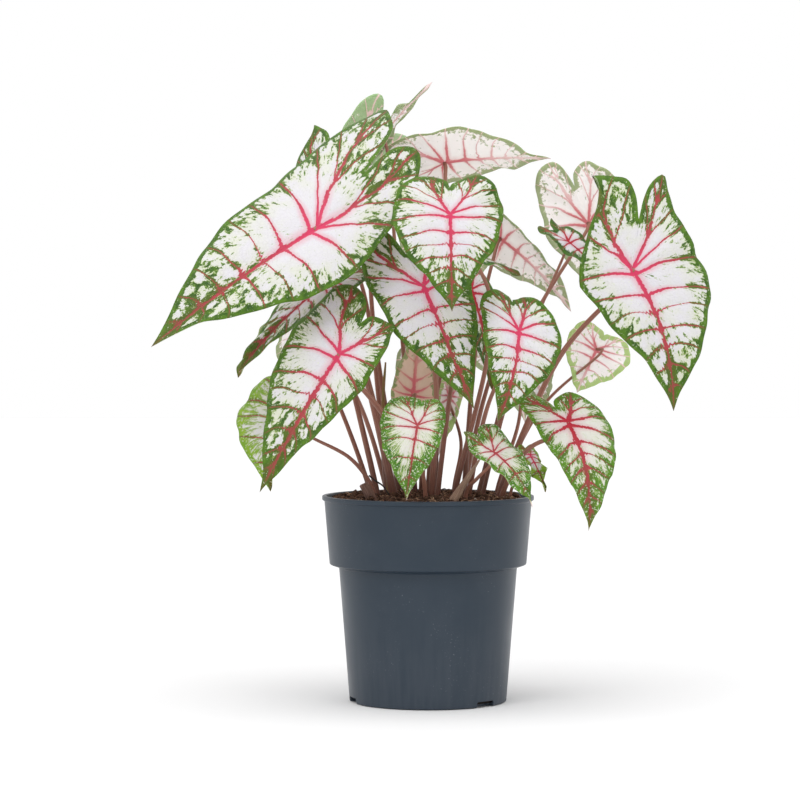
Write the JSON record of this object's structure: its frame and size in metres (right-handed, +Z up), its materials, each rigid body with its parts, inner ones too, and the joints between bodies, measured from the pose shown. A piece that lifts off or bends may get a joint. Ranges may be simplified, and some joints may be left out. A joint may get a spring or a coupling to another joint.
{
  "type": "potted caladium",
  "caption": "Potted house plant with broad arrow-shaped white, green and pink leaves on thin stalks, standing in a tapered round nursery pot.",
  "frame": {"origin": "centre of the pot's flat bottom, where it stands", "axes": "+Z up along the pot's axis; -Y towards the viewer of the picture, the side that the large front leaves face; +X to that viewer's right"},
  "size_m": [0.4372, 0.3208, 0.5011],
  "materials": {
    "pot_plastic": "dark blue-grey moulded plastic, softly satin",
    "soil": "loose brown peat and coir fibre",
    "leaf": "papery white and green leaf with coral-pink veins, softly satin, on a pink-brown stalk",
    "dry_brown": "dull dead stalk",
    "dry_paper": "thin dry bract",
    "young_leaf": "rolled young leaf, olive and red-brown"
  },
  "bodies": {
    "root": {"pot": "pot_plastic", "soil": "soil", "cut_stub": "dry_brown", "dry_sheath": "dry_paper", "young_rolled_leaf": "young_leaf", "leaf_01": "leaf", "leaf_02": "leaf", "leaf_03": "leaf", "leaf_04": "leaf", "leaf_05": "leaf", "leaf_06": "leaf", "leaf_07": "leaf", "leaf_08": "leaf", "leaf_09": "leaf", "leaf_10": "leaf", "leaf_11": "leaf", "leaf_12": "leaf", "leaf_13": "leaf", "leaf_14": "leaf", "leaf_15": "leaf", "leaf_16": "leaf", "leaf_17": "leaf", "leaf_18": "leaf", "leaf_19": "leaf", "leaf_20": "leaf", "leaf_21": "leaf", "leaf_22": "leaf", "leaf_23": "leaf", "leaf_24": "leaf", "leaf_25": "leaf", "leaf_26": "leaf", "leaf_27": "leaf", "leaf_28": "leaf", "leaf_29": "leaf", "leaf_30": "leaf"}
  },
  "joints": []
}
